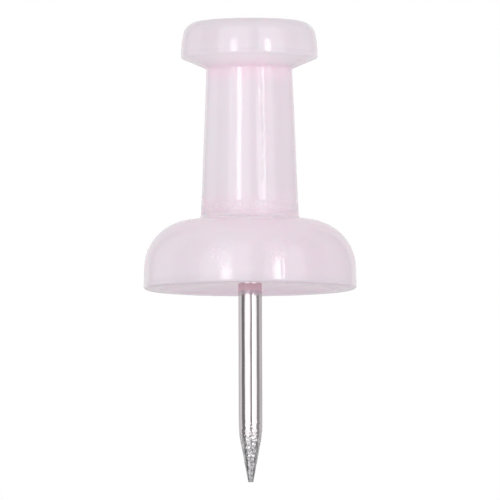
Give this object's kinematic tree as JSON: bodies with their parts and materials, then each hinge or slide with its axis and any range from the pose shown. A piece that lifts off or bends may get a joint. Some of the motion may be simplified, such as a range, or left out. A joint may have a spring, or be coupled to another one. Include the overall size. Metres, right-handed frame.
{
  "type": "push pin",
  "caption": "Push pin with a spool-shaped translucent pink plastic head: flat thumb cap, waisted finger grip and domed seat flange, moulded round a polished steel pin with a ground point.",
  "frame": {"origin": "on the axis, in the plane of the flat ring under the flange that seats on the board", "axes": "+Z along the axis from the point up to the cap; X and Y are free, as the part is round"},
  "size_m": [0.0106, 0.0106, 0.023],
  "materials": {
    "pink_plastic": "glossy, milky translucent pale pink",
    "polished_steel": "bright drawn wire, ground at the point"
  },
  "bodies": {
    "root": {"moulded_head": "pink_plastic", "steel_pin": "polished_steel"}
  },
  "joints": []
}
